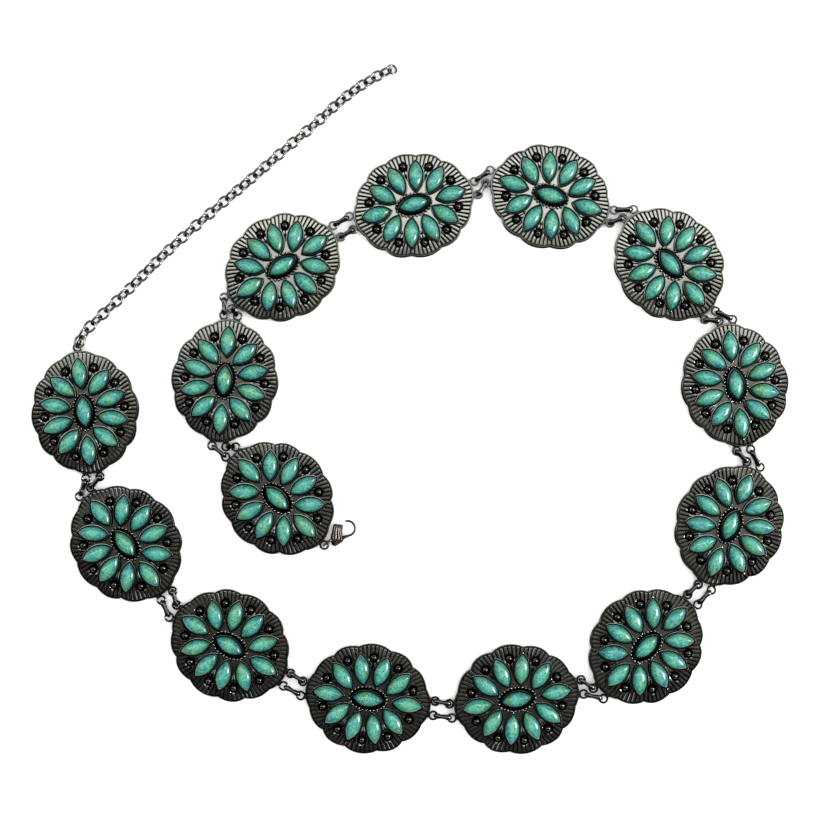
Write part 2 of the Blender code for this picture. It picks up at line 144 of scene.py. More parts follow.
def mix(tree, factor, first, second):
    made = tree.nodes.new("ShaderNodeMix")
    made.data_type = "RGBA"
    for socket, value in ((0, factor), (6, first), (7, second)):
        if hasattr(value, "links"):
            tree.links.new(value, made.inputs[socket])
        else:
            made.inputs[socket].default_value = (*value, 1.0)
    return made.outputs[2]


def multiply_add(tree, first, second, third):
    made = tree.nodes.new("ShaderNodeVectorMath")
    made.operation = "MULTIPLY_ADD"
    for value, socket in zip((first, second, third), made.inputs):
        tree.links.new(value, socket)
    return made.outputs["Vector"]


def new_material(name):
    material = bpy.data.materials.new(name)
    material.use_nodes = True
    tree = material.node_tree
    return material, tree, tree.nodes["Principled BSDF"]


def tone_of(tree):
    attribute = tree.nodes.new("ShaderNodeAttribute")
    attribute.attribute_name = "tone"
    return attribute.outputs["Fac"]


def place_of(tree):
    return tree.nodes.new("ShaderNodeNewGeometry").outputs["Position"]


def noise(tree, place, scale, detail=3.0, distortion=0.0):
    made = node(tree, "ShaderNodeTexNoise", Scale=scale, Detail=detail, Distortion=distortion)
    tree.links.new(place, made.inputs["Vector"])
    return made.outputs["Fac"]


def add_bump(tree, shader, height, strength, distance):
    bump = node(tree, "ShaderNodeBump", Strength=strength, Distance=distance)
    tree.links.new(height, bump.inputs["Height"])
    tree.links.new(bump.outputs["Normal"], shader.inputs["Normal"])


def turquoise():
    """Glossy stone, mottled green and blue, with dark veins; a painted highlight makes its crown
    paler and painted shade makes it darker toward the bezel.
    """
    material, tree, shader = new_material("turquoise_stone")
    place = place_of(tree)
    base = ramp(tree, noise(tree, place, 170.0, 3.0, 0.8), (
        (0.32, (0.008, 0.125, 0.150)),
        (0.44, (0.020, 0.205, 0.178)),
        (0.56, (0.040, 0.245, 0.160)),
        (0.68, (0.070, 0.185, 0.048)),
    ))
    fine = grey_ramp(tree, noise(tree, place, 850.0, 5.0, 1.2), (0.46, 0.0), (0.72, 0.75))
    mottled = mix(tree, fine, base, (0.140, 0.450, 0.345))
    cloud = noise(tree, place, 400.0, 4.0, 2.4)
    vein = grey_ramp(tree, cloud, (0.470, 0.0), (0.492, 0.9), (0.508, 0.9), (0.530, 0.0))
    # Painted highlight: the crown, where the tone is low, is mixed toward a paler green.
    crown = grey_ramp(tree, tone_of(tree), (0.0, 0.40), (0.55, 0.0))
    with_painted_crown_highlight = mix(tree, crown, mottled, (0.155, 0.470, 0.375))
    veined = mix(tree, vein, with_painted_crown_highlight, (0.012, 0.050, 0.026))
    # Painted shade: toward the girdle, where the tone is high, the colour darkens to a near-black
    # teal.
    edge = grey_ramp(tree, tone_of(tree), (0.42, 0.0), (0.72, 0.30), (0.90, 0.75), (1.0, 1.0))
    tree.links.new(mix(tree, edge, veined, (0.001, 0.014, 0.017)), shader.inputs["Base Color"])
    shader.inputs["Roughness"].default_value = 0.22
    shader.inputs["Specular IOR Level"].default_value = 0.7
    shader.inputs["Coat Weight"].default_value = 0.4
    shader.inputs["Coat Roughness"].default_value = 0.12
    add_bump(tree, shader, cloud, 0.25, 0.12 * MM)
    return material


def gunmetal(name, bright, dark, roughness):
    """Dark plating: blackened in the hollows, and bare metal on what stands proud. The tone that
    sets this also carries painted shade on the sides of wires, the feet of bezels and the plate's
    side, and a painted highlight on the tops of wires.
    """
    material, tree, shader = new_material(name)
    place = place_of(tree)
    smudge = noise(tree, place, 240.0, 4.0, 0.6)
    worn = mix(tree, smudge, tuple(0.8 * c for c in bright), tuple(1.25 * c for c in bright))
    # Low tone gives blackened hollows and also painted shade; high tone gives bare metal and, on
    # wire tops, a painted highlight.
    patina_and_painted_shade = grey_ramp(tree, tone_of(tree), (0.05, 0.0), (0.85, 1.0))
    tree.links.new(mix(tree, patina_and_painted_shade, dark, worn), shader.inputs["Base Color"])
    tree.links.new(patina_and_painted_shade, shader.inputs["Specular Tint"])
    shader.inputs["Metallic"].default_value = 1.0
    rough = node(tree, "ShaderNodeMapRange")
    rough.inputs["To Min"].default_value = roughness - 0.05
    rough.inputs["To Max"].default_value = roughness + 0.07
    tree.links.new(smudge, rough.inputs["Value"])
    tree.links.new(rough.outputs["Result"], shader.inputs["Roughness"])
    add_bump(tree, shader, noise(tree, place, 2600.0, 3.0), 0.20, 0.03 * MM)
    return material


# Mesh making


class Shell:
    """Points and faces of one mesh, with a material slot a face and a tone a point."""

    def __init__(self):
        self.points = []
        self.faces = []
        self.slots = []
        self.tones = []

    def add(self, points, tone=1.0):
        start = len(self.points)
        self.points.extend(tuple(p) for p in points)
        self.tones.extend(tone if isinstance(tone, (list, tuple)) else [tone] * len(points))
        return list(range(start, len(self.points)))

    def face(self, corners, slot=0):
        self.faces.append(tuple(corners))
        self.slots.append(slot)

    def strip(self, first, second, slot=0):
        """Faces between two closed rows of points."""
        for k in range(len(first)):
            after = (k + 1) % len(first)
            self.face((first[k], first[after], second[after], second[k]), slot)

    def loops(self, rows, tones, slot=0, caps=False, ring=False):
        """Bridges closed rows, with a face on both ends or the last row joined to the first."""
        made = [self.add(row, tone) for row, tone in zip(rows, tones)]
        for first, second in zip(made, made[1:]):
            self.strip(first, second, slot)
        if ring:
            self.strip(made[-1], made[0], slot)
        if caps:
            self.face(reversed(made[0]), slot)
            self.face(made[-1], slot)
        return made

    def fan(self, row, tip, slot=0, tone=1.0):
        """Triangles from a closed row to one point."""
        middle = self.add([tip], tone)[0]
        for k in range(len(row)):
            self.face((row[k], row[(k + 1) % len(row)], middle), slot)

    def mesh(self, name, materials, sharp=33.0):
        mesh = bpy.data.meshes.new(name)
        mesh.from_pydata(self.points, [], self.faces)
        for material in materials:
            mesh.materials.append(material)
        mesh.polygons.foreach_set("material_index", self.slots)
        attribute = mesh.attributes.new("tone", "FLOAT", "POINT")
        attribute.data.foreach_set("value", self.tones)
        mesh.shade_smooth()
        mesh.set_sharp_from_angle(angle=math.radians(sharp))
        return mesh


def ball(shell, middle, radius, around=16, levels=8, tone=1.0):
    rows = []
    x, y, z = middle
    for k in range(1, levels):
        polar = math.pi * k / levels
        height = z - radius * math.cos(polar)
        rows.append(circle(radius * math.sin(polar), around, (x, y, height)))
    made = shell.loops(rows, [tone] * len(rows))
    shell.fan(made[0][::-1], (x, y, z - radius), tone=tone)
    shell.fan(made[-1], (x, y, z + radius), tone=tone)


def tube(shell, path, radii, sides=10, closed=False, tone=1.0, up=(0, 0, 1)):
    """Wire along a path, with painted shade where it turns away from above and a painted highlight
    on its top.

    The radius is one number, one a point, or a pair a point: toward the side and toward up.
    """
    points = [Vector(p) for p in path]
    count = len(points)
    if not isinstance(radii, (list, tuple)):
        radii = [radii] * count
    rows, tones = [], []
    for k, (point, radius) in enumerate(zip(points, radii)):
        side_radius, up_radius = radius if isinstance(radius, tuple) else (radius, radius)
        if closed:
            along = points[(k + 1) % count] - points[k - 1]
        else:
            along = points[min(k + 1, count - 1)] - points[max(k - 1, 0)]
        along.normalize()
        side = Vector(up).cross(along).normalized()
        over = along.cross(side)
        row, painted_shade_tones = [], []
        for j in range(sides):
            turn = 2 * math.pi * j / sides
            across, rise = math.cos(turn) * side, math.sin(turn) * over
            row.append(point + side_radius * across + up_radius * rise)
            # Painted light: the tone is high on the wire's top, a painted highlight, and low on its
            # sides and underside, painted shade.
            painted_shade_tones.append(tone * smoothstep(0.25, 0.85, (across + rise).z))
        rows.append(row)
        tones.append(painted_shade_tones)
    shell.loops(rows, tones, caps=not closed, ring=closed)


def circle(radius, steps, middle=(0.0, 0.0, 0.0)):
    x, y, z = middle
    return [(x + radius * math.cos(2 * math.pi * k / steps),
             y + radius * math.sin(2 * math.pi * k / steps), z) for k in range(steps)]


# The medallion


def mirrored(rows):
    places = {}
    for x_share, y_share, *angle in rows:
        own = angle[0] if angle else 0.0
        for x_sign in (1, -1):
            for y_sign in (1, -1):
                x = round(x_sign * x_share, 4) + 0.0
                y = round(y_sign * y_share, 4) + 0.0
                places[(x, y)] = math.radians(x_sign * y_sign * own)
    return [(x * PLATE_LENGTH / 2, y * PLATE_WIDTH / 2, a) for (x, y), a in places.items()]


STONES = mirrored(QUARTER_STONES)
STUDS = mirrored(QUARTER_STUDS)


def lobes():
    """(first notch, last notch, crest) of every lobe, all the way round."""
    notches = [(math.radians(degrees), share * NOTCH_DEPTH) for degrees, share, _ in QUARTER_EDGE]
    crests = [share * NOTCH_DEPTH for _, _, share in QUARTER_EDGE]
    half = notches + [(math.pi - angle, depth) for angle, depth in reversed(notches)]
    around = half + [(math.pi + angle, depth) for angle, depth in half]
    first_angle, first_depth = around[0]
    after = around[1:] + [(first_angle + 2 * math.pi, first_depth)]
    return list(zip(around, after, (crests + crests[-2::-1] + [0.0]) * 2))


LOBES = lobes()


def edge_depth(angle):
    """How far the scalloped edge lies inside the oval at an angle on it."""
    turned = (angle - LOBES[0][0][0]) % (2 * math.pi) + LOBES[0][0][0]
    for (start, start_depth), (end, end_depth), crest in LOBES:
        if turned <= end:
            share = (turned - start) / (end - start)
            valley = start_depth + (end_depth - start_depth) * share
            return valley + (crest - valley) * math.sin(math.pi * share) ** 0.75
    return 0.0


def even_angles(count):
    """Angles on the oval that divide its edge into equal lengths, from the plate's end."""
    steps = 7200
    turns = np.linspace(0, 2 * math.pi, steps + 1)
    x = PLATE_LENGTH / 2 * np.cos(turns)
    y = PLATE_WIDTH / 2 * np.sin(turns)
    lengths = np.concatenate([[0], np.cumsum(np.hypot(np.diff(x), np.diff(y)))])
    return np.interp(np.arange(count + 1) * lengths[-1] / count, lengths, turns)


# Heights of the plate's top in mm: its middle, how far the edge drops, and the lip, ribs and moats
FIELD_HEIGHT = 2.74
EDGE_DROP = 0.20
LIP_RISE = 0.36
RIB_RISE = 0.38
MOAT_DEPTH = 0.45
# Distances from a stud's middle, in mm, over which its moat ends
MOAT_EDGE = (1.50, 1.95)
# Shares of the way to the edge over which the ribs and the lip start and end
RIBS_START = (0.50, 0.60)
RIBS_END = (0.963, 0.971)
LIP_START = (0.970, 0.978)
LIP_END = (0.992, 1.0)
# Rows of the plate's side, from the top: height and inset in mm, and tone; the low tone is painted
# shade on the side, darkest at the floor
SIDE_ROWS = ((1.95, -0.05, 0.12), (0.35, 0.0, 0.05), (0.0, 0.25, 0.0))
# Height of a rib across one pitch, from the groove between two ribs
RIB_PROFILE = ((0.0, 0.0), (0.25, 0.985), (0.33, 1.0), (0.67, 1.0), (0.75, 0.985))
# Rows of the plate's top, as shares of the way from its middle to its edge
PLATE_SHARES = (
    [0.10, 0.16, 0.20, 0.23, 0.26, 0.29, 0.32, 0.36, 0.44, 0.50, 0.54, 0.57]
    + [0.59 + 0.020 * k for k in range(15)]
    + [0.888, 0.908, 0.930, 0.946, 0.958, 0.964, 0.969, 0.973, 0.978, 0.992, 1.0]
)


def plate_point(angle, depth, share, inset=0.0):
    """A point at a share of the way from the plate's middle to its scalloped edge."""
    inside = depth * smoothstep(0.55, 0.97, share) + inset
    return (
        share * (PLATE_LENGTH / 2 - inside) * math.cos(angle),
        share * (PLATE_WIDTH / 2 - inside) * math.sin(angle),
    )


def plate(shell):
    """The ribbed plate with its hollows round the studs and the thin lip along its edge."""
    ends = even_angles(RIB_COUNT)
    samples = []
    for start, end in zip(ends, ends[1:]):
        for part, raised in RIB_PROFILE:
            angle = start + (end - start) * part
            samples.append((angle, raised, edge_depth(angle)))
    rows, tones = [], []
    for share in PLATE_SHARES:
        ribbed = smoothstep(*RIBS_START, share) * (1 - smoothstep(*RIBS_END, share))
        lip = smoothstep(*LIP_START, share) * (1 - 0.45 * smoothstep(*LIP_END, share))
        base = FIELD_HEIGHT - EDGE_DROP * max(0.0, (share - 0.55) / 0.45) ** 1.5
        field = 1 - smoothstep(*RIBS_START, share)
        row, tone = [], []
        for angle, raised, depth in samples:
            x, y = plate_point(angle, depth, share)
            nearest = min(math.hypot(x - sx, y - sy) for sx, sy, _ in STUDS) / MM
            moat = 1 - smoothstep(*MOAT_EDGE, nearest)
            rib = ribbed * raised * (1 - moat)
            height = base + RIB_RISE * rib + LIP_RISE * lip - MOAT_DEPTH * moat
            row.append((x, y, height * MM))
            bead_bed = 1 - smoothstep(1.00, 1.07, math.hypot(x / BEAD_OVAL[0], y / BEAD_OVAL[1]))
            shade = field + rib ** 6 + 0.55 * lip ** 2
            tone.append(min(1.0, shade) * (1 - moat) * (1 - bead_bed))
        rows.append(row)
        tones.append(tone)
    for height, inset, shade in SIDE_ROWS:
        rows.append([(*plate_point(a, d, 1.0, inset * MM), height * MM) for a, _, d in samples])
        tones.append([shade] * len(samples))
    made = shell.loops([row[::-1] for row in rows], [tone[::-1] for tone in tones])
    shell.fan(made[0][::-1], (0.0, 0.0, FIELD_HEIGHT * MM), tone=0.0)
    shell.face(made[-1])


def marquise(half_length, half_width, steps):
    """A pointed oval from its tip round to it again, steps points a side."""
    radius = (half_length**2 + half_width**2) / (2 * half_width)
    half_angle = math.asin(half_length / radius)
    side = []
    for k in range(steps):
        turn = half_angle * (1 - 2 * k / steps)
        side.append((radius * math.sin(turn), radius * math.cos(turn) - radius + half_width))
    return side + [(-x, -y) for x, y in side]


# How much further a marquise's tips move out than its sides when it is offset
TIP_STRETCH = 1.24


def set_in(points, spot, height):
    x, y, angle = spot
    c, s = math.cos(angle), math.sin(angle)
    return [(x + c * px - s * py, y + s * px + c * py, height) for px, py in points]


def stone(shell, spot):
    """A domed marquise stone with a soft ridge along it."""
    outline = marquise(STONE_LENGTH / 2, STONE_WIDTH / 2, 20)
    rise = CROWN_HEIGHT - GIRDLE_HEIGHT - 0.03 * MM
    rows = [set_in(outline, spot, STONE_BASE_HEIGHT)]
    shares = (1.0, 0.985, 0.95, 0.88, 0.77, 0.62, 0.44, 0.22)
    for share in shares:
        points = [(x * share**0.86, y * share) for x, y in outline]
        rows.append(set_in(points, spot, GIRDLE_HEIGHT + rise * (1 - share**2.3) ** 0.62))
    # Tones run from 1 at the girdle down to 0 at the top; from them the stone's material paints
    # shade near the girdle and a highlight on the crown.
    made = shell.loops(rows, (1.0, *shares), slot=1)
    shell.fan(made[-1], (spot[0], spot[1], GIRDLE_HEIGHT + rise), slot=1, tone=0.0)


# Bezel wall: distance outside the stone, height, how much of the teeth and its tone. The low tone
# in the gap by the stone is partly blackened hollow and partly painted shade, and at the wall's
# outer foot it is painted shadow.
BEZEL_PROFILE = (
    (0.00, 3.55, 0.0, 0.0),
    (0.20, 3.75, 0.0, 0.0),
    (0.26, 4.20, 0.4, 0.3),
    (0.31, 4.30, 1.0, 1.0),
    (0.47, 4.28, 1.0, 1.0),
    (0.53, 4.18, 0.4, 0.4),
    (0.57, 3.60, 0.0, 0.0),
    (0.62, 2.60, 0.0, 0.0),
)


def bezel(shell, spot, tooth_height, shine):
    """The wall round a stone, with a serrated top edge; the tooth height is in mm."""
    rows, tones = [], []
    for offset, height, toothed, tone in BEZEL_PROFILE:
        half_length = STONE_LENGTH / 2 + offset * TIP_STRETCH * MM
        outline = marquise(half_length, STONE_WIDTH / 2 + offset * MM, 34)[::-1]
        row = set_in(outline, spot, height * MM)
        lifts = [tooth_height * toothed * (0.5 if k % 2 else -0.5) * MM for k in range(len(row))]
        rows.append([(x, y, z + lift) for (x, y, z), lift in zip(row, lifts)])
        tones.append(tone * shine)
    shell.loops(rows, tones)


def bead_ring(shell):
    """Fine beads, evenly spaced on an oval round the middle stone."""
    turns = np.linspace(0, 2 * math.pi, 1441)
    x = BEAD_OVAL[0] * np.cos(turns)
    y = BEAD_OVAL[1] * np.sin(turns)
    lengths = np.concatenate([[0], np.cumsum(np.hypot(np.diff(x), np.diff(y)))])
    for k in range(BEAD_COUNT):
        turn = np.interp((k + 0.5) * lengths[-1] / BEAD_COUNT, lengths, turns)
        middle = (BEAD_OVAL[0] * math.cos(turn), BEAD_OVAL[1] * math.sin(turn), BEAD_HEIGHT)
        ball(shell, middle, BEAD_RADIUS, 12, 6, 0.85)


def eye(shell, x, y):
    """A round ring of wire on a short tongue."""
    wall = EYE_RADIUS - EYE_HOLE_RADIUS
    ring = circle((EYE_RADIUS + EYE_HOLE_RADIUS) / 2, 32, (x, y, EYE_HEIGHT))
    tube(shell, ring, [(wall, 0.40 * MM)] * len(ring), 10, closed=True, tone=0.45)
    toward = -math.copysign(1.0, x)
    steps = (0.15, 0.8, 1.8)
    path = [(x + toward * (EYE_HOLE_RADIUS + step * MM), y, EYE_HEIGHT) for step in steps]
    radii = [(0.8 * MM, 0.3 * MM), (1.3 * MM, 0.4 * MM), (1.5 * MM, 0.45 * MM)]
    tube(shell, path, radii, 12, tone=0.3)


def medallion_mesh(name, materials, single_end=False):
    shell = Shell()
    plate(shell)
    for spot in STONES:
        stone(shell, spot)
        is_middle = math.hypot(spot[0], spot[1]) < MM
        bezel(shell, spot, 0.04 if is_middle else 0.10, 0.3 if is_middle else 0.8)
    bead_ring(shell)
    for x, y, _ in STUDS:
        ball(shell, (x, y, STUD_HEIGHT), STUD_RADIUS, 20, 10, 0.35)
    for side in (1, -1):
        eye(shell, EYE_REACH, side * EYE_SPACING / 2)
        if not single_end:
            eye(shell, -EYE_REACH, side * EYE_SPACING / 2)
    if single_end:
        eye(shell, -EYE_REACH, 0.0)
    return shell.mesh(name, materials)


# Links, hook and chain


def loop_path(length, height, steps, side_steps):
    """A long loop in the XZ plane, with round ends."""
    radius = height / 2
    straight = length / 2 - radius
    path = []
    for sign in (1, -1):
        for k in range(steps + 1):
            turn = math.pi * (0.5 - k / steps)
            x = straight + radius * math.cos(turn)
            path.append((sign * x, 0.0, sign * radius * math.sin(turn)))
        for k in range(1, side_steps):
            path.append((sign * straight * (1 - 2 * k / side_steps), 0.0, -sign * radius))
    return path


def link_mesh(material):
    """A long loop on edge whose sides are bars, waisted halfway and swelling toward the ends."""
    shell = Shell()
    path = loop_path(LINK_PITCH, LINK_HEIGHT - LINK_WIRE, 12, 12)
    radii = []
    for x, _, z in path:
        out = abs(x) / (LINK_PITCH / 2)
        level = smoothstep(0.25, 0.9, abs(z) / (LINK_HEIGHT / 2 - LINK_WIRE / 2))
        bar = 0.66 + 0.24 * smoothstep(0.15, 0.62, out)
        radii.append((LINK_WIRE / 2, (0.46 + (bar - 0.46) * level) * MM))
    tube(shell, path, radii, 12, closed=True, tone=0.85, up=(0, 1, 0))
    return shell.mesh("link_detail", (material,), 60.0)


def object_of(name, mesh, matrix, slot, *replaced):
    obj = bpy.data.objects.new(name, mesh)
    bpy.context.scene.collection.objects.link(obj)
    obj.matrix_world = matrix
    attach(obj, "root")
    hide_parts(*replaced)
    return obj


def node_points(name):
    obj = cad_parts[name]
    points = np.empty(len(obj.data.vertices) * 3)
    obj.data.vertices.foreach_get("co", points)
    matrix = np.array(obj.matrix_world)
    return points.reshape(-1, 3) @ matrix[:3, :3].T + matrix[:3, 3]


def spread_axes(points):
    """The main directions of a cloud of points, the widest spread first."""
    centred = points - points.mean(0)
    _, vectors = np.linalg.eigh(centred.T @ centred)
    return [vectors[:, k] for k in reversed(range(points.shape[1]))]


def medallion_poses():
    """(middle, heading) of each medallion, from the crowns of its stones."""
    middles, axes = [], []
    for k in range(1, 15):
        points = node_points(f"medallion_{k:02d}")
        crowns = np.unique(np.round(points[points[:, 2] > CROWN_HEIGHT - 0.1 * MM], 6), axis=0)
        middles.append(crowns[:, :2].mean(0))
        axes.append(spread_axes(crowns[:, :2])[0])
    poses = []
    for k, (middle, axis) in enumerate(zip(middles, axes)):
        toward = middles[k + 1] - middle if k < 13 else middle - middles[k - 1]
        if axis @ toward < 0:
            axis = -axis
        poses.append((Vector(middle), math.atan2(axis[1], axis[0])))
    return poses


def heading_vector(radians):
    return Vector((math.cos(radians), math.sin(radians)))


def standing_on(middle, heading):
    return Matrix.Translation((middle[0], middle[1], 0.0)) @ Matrix.Rotation(heading, 4, "Z")


def add_medallions(poses, metal, stone_material):
    materials = (metal, stone_material)
    middle_mesh = medallion_mesh("medallion_detail", materials)
    end_mesh = medallion_mesh("end_medallion_detail", materials, single_end=True)
    for k, (middle, heading) in enumerate(poses):
        mesh = end_mesh if k in (0, 13) else middle_mesh
        turned = heading + (math.pi if k == 13 else 0.0)
        name = f"medallion_{k + 1:02d}"
        object_of(name + "_detail", mesh, standing_on(middle, turned), "medallion", name)


def add_links(metal):
    mesh = link_mesh(metal)
    for word in ("outer", "inner"):
        for k in range(1, 14):
            name = f"link_{word}_{k:02d}"
            points = node_points(name)
            along = Vector(spread_axes(points)[0])
            if abs(along.z) > 0.7:
                across = Vector((*spread_axes(points[:, :2])[0], 0.0))
                along, height = Vector((0, 0, 1)), across
            else:
                along, height = Vector((along.x, along.y, 0.0)).normalized(), Vector((0, 0, 1))
            side = height.cross(along)
            matrix = Matrix((along, side, height)).transposed().to_4x4()
            matrix.translation = Vector((points.min(0) + points.max(0)) / 2)
            object_of(name + "_detail", mesh, matrix, "links", name)


def catmull_rom(knots, t):
    a, b, c, d = knots
    return 0.5 * (
        2 * b + (c - a) * t + (2 * a - 5 * b + 4 * c - d) * t**2
        + (3 * b - a - 3 * c + d) * t**3
    )


# The hook's fan, in shares of the hook's length from the middle of its eye: its two long sides,
# from the narrow end by the eye to the wide end
FAN_OUTER_SIDE = ((0.205, -0.215), (0.480, -0.235), (0.585, -0.060), (0.755, 0.125))
FAN_INNER_SIDE = ((0.175, -0.105), (0.250, 0.040), (0.410, 0.170), (0.570, 0.300))
FAN_RIDGES = 4
# Heights in mm: the fan's base and edge, and how far its middle and its ridges rise
FAN_BASE = 0.85
FAN_EDGE = 1.75
FAN_CROWN_RISE = 0.65
FAN_RIDGE_RISE = 0.42
HOOK_LOOP_REACH = 4.4 * MM
HOOK_BEND_DEGREES = (-100.0, 68.0)
HOOK_WIRE_RADIUS = 0.45 * MM


def along_side(side, share):
    """A point on a smooth curve through the points of a side."""
    knots = [Vector(p) * HOOK_LENGTH for p in side]
    knots = [2 * knots[0] - knots[1]] + knots + [2 * knots[-1] - knots[-2]]
    spans = len(side) - 1
    span = min(spans - 1, int(share * spans))
    return catmull_rom(knots[span:span + 4], share * spans - span)


def hook_mesh(material):
    """The hook: a loop through the eye, a ridged fan and a hook of round wire."""
    shell = Shell()
    rows, columns = 16, 48
    top, tones = [], []
    for i in range(rows + 1):
        outer = along_side(FAN_OUTER_SIDE, i / rows)
        inner = along_side(FAN_INNER_SIDE, i / rows)
        row = []
        for j in range(columns + 1):
            share = j / columns
            spot = outer.lerp(inner, share)
            crown = (1 - abs(2 * share - 1) ** 3.5) * (1 - 0.55 * abs(2 * i / rows - 1) ** 4)
            ridge = abs(math.sin(math.pi * FAN_RIDGES * share)) ** 0.7
            height = FAN_EDGE + FAN_CROWN_RISE * crown + FAN_RIDGE_RISE * ridge * crown
            row.append((spot.x, spot.y, height * MM))
            tones.append(0.08 + 0.92 * ridge * crown)
        top.append(row)
    made = shell.add([p for row in top for p in row], tones)
    width = columns + 1
    for i in range(rows):
        for j in range(columns):
            first = i * width + j
            shell.face((made[first], made[first + width], made[first + width + 1], made[first + 1]))
    rim = (
        list(range(width)) + [i * width + columns for i in range(1, rows + 1)]
        + [rows * width + j for j in range(columns - 1, -1, -1)]
        + [i * width for i in range(rows - 1, 0, -1)]
    )
    low = shell.add([(*shell.points[made[k]][:2], FAN_BASE * MM) for k in rim], 0.1)
    shell.strip([made[k] for k in rim], low)
    shell.face(low)

    loop = [(x + HOOK_LOOP_REACH / 2 - 0.4 * MM, y, z + EYE_HEIGHT)
            for x, y, z in loop_path(HOOK_LOOP_REACH, LINK_HEIGHT - LINK_WIRE, 12, 4)]
    tube(shell, loop, LINK_WIRE / 2, 12, closed=True, tone=0.85, up=(0, 1, 0))

    bend_middle = Vector((HOOK_LENGTH - HOOK_BEND_RADIUS, -0.035 * HOOK_LENGTH))
    path = [Vector((0.50, -0.155)) * HOOK_LENGTH, Vector((0.60, -0.182)) * HOOK_LENGTH]
    for degrees in np.linspace(*HOOK_BEND_DEGREES, 25):
        path.append(bend_middle + HOOK_BEND_RADIUS * heading_vector(math.radians(degrees)))
    radii = [0.85 * MM, 0.60 * MM] + [HOOK_WIRE_RADIUS] * 24 + [0.36 * MM]
    tube(shell, [(p.x, p.y, EYE_HEIGHT) for p in path], radii, 12, tone=0.5)
    return shell.mesh("hook_detail", (material,), 50.0)


def add_hook(pose, metal):
    middle, heading = pose
    eye_spot = middle - EYE_REACH * heading_vector(heading)
    turned = heading + math.pi + math.radians(HOOK_SWING_DEGREES)
    matrix = standing_on(eye_spot, turned)
    object_of("hook_clasp_detail", hook_mesh(metal), matrix, "hook", "hook_clasp")


def smooth_route(points, step):
    """An even number of equal steps, of about the given length, on a smooth curve."""
    knots = [Vector(point) for point in points]
    knots = [2 * knots[0] - knots[1]] + knots + [2 * knots[-1] - knots[-2]]
    dense = [catmull_rom(knots[k:k + 4], t / 40) for k in range(len(knots) - 3) for t in range(40)]
    x, y = np.array(dense + [knots[-2]]).T
    lengths = np.concatenate([[0], np.cumsum(np.hypot(np.diff(x), np.diff(y)))])
    at = np.linspace(0, lengths[-1], 2 * round(lengths[-1] / step / 2) + 1)
    return [Vector(spot) for spot in zip(np.interp(at, lengths, x), np.interp(at, lengths, y))]


def chain_link_path():
    """The middle line of one rounded link of the extension chain, in the XY plane."""
    path = []
    for k in range(26):
        c, s = math.cos(2 * math.pi * k / 26), math.sin(2 * math.pi * k / 26)
        x = (CHAIN_LINK_LENGTH - CHAIN_WIRE) / 2 * math.copysign(abs(c) ** 0.9, c)
        y = (CHAIN_LINK_WIDTH - CHAIN_WIRE) / 2 * math.copysign(abs(s) ** 0.9, s)
        path.append(Vector((x, y, 0.0)))
    return path


def add_chain(pose, metal):
    """Small links along the route, flat and on edge by turns; gives the last one's direction.

    The last one stands on edge and passes through the end ring.
    """
    middle, heading = pose
    eye_spot = middle + EYE_REACH * heading_vector(heading)
    route = [eye_spot + Vector(p) for p in CHAIN_ROUTE]
    outline = chain_link_path()
    shell = Shell()
    ring_points = node_points("end_ring")
    ring_middle = Vector((ring_points.min(0) + ring_points.max(0))[:2] / 2)
    from_ring = (route[-1] - ring_middle).normalized()
    route = [eye_spot.lerp(route[0], 0.15)] + route[:-1] + [ring_middle + CHAIN_END_GAP * from_ring]
    spots = smooth_route(route, CHAIN_PITCH)
    up = Vector((0, 0, 1))
    for k, (spot, after) in enumerate(zip(spots, spots[1:])):
        along = Vector((*(after - spot), 0.0)).normalized()
        centre = Vector((*((spot + after) / 2), CHAIN_HEIGHT))
        jitter = math.sin(k * 12.9898) * 7.0
        roll = math.radians(CHAIN_ROLL_DEGREES[k % 2] + jitter)
        turn = Matrix((along, up.cross(along), up)).transposed() @ Matrix.Rotation(roll, 3, "X")
        path = [centre + turn @ point for point in outline]
        tube(shell, path, CHAIN_WIRE / 2, 10, closed=True, up=turn @ up)
    mesh = shell.mesh("chain_links", (metal,), 60.0)
    object_of("extension_chain_links", mesh, Matrix(), "chain", "extension_chain")
    return along


def add_rings(metal, chain_end):
    """The two rings; the end ring leans on the last link of the chain."""
    for name in ("jump_ring", "end_ring"):
        points = node_points(name)
        middle = (points.min(0) + points.max(0)) / 2
        normal = spread_axes(points)[2]
        from_middle = points - middle
        height = from_middle @ normal
        wire = float(np.abs(height).max())
        radius = float(np.linalg.norm(from_middle - np.outer(height, normal), axis=1).max())
        shell = Shell()
        tube(shell, circle(radius - wire, 36), wire, 12, closed=True)
        mesh = shell.mesh(name + "_detail", (metal,), 60.0)
        matrix = Vector(normal).to_track_quat("Z", "Y").to_matrix().to_4x4()
        if name == "end_ring":
            lean = math.radians(END_RING_LEAN_DEGREES)
            matrix = Matrix.Rotation(lean, 4, Vector((-chain_end.y, chain_end.x, 0))) @ matrix
            middle[2] += (radius - wire) * math.sin(lean)
        matrix.translation = Vector(middle)
        object_of(name + "_detail", mesh, matrix, "chain", name)


# Stage


def add_floor():
    material, tree, shader = new_material("paper_floor")
    pale = mix(tree, noise(tree, place_of(tree), 30.0, 3.0), (0.90, 0.90, 0.89), (0.93, 0.93, 0.92))
    tree.links.new(pale, shader.inputs["Base Color"])
    shader.inputs["Roughness"].default_value = 0.85
    shader.inputs["Specular IOR Level"].default_value = 0.1
    mesh = bpy.data.meshes.new("floor")
    mesh.from_pydata([(-3, -3, 0), (3, -3, 0), (3, 3, 0), (-3, 3, 0)], [], [(0, 1, 2, 3)])
    mesh.materials.append(material)
    floor = bpy.data.objects.new("floor", mesh)
    floor.location.z = -0.05 * MM
    bpy.context.scene.collection.objects.link(floor)


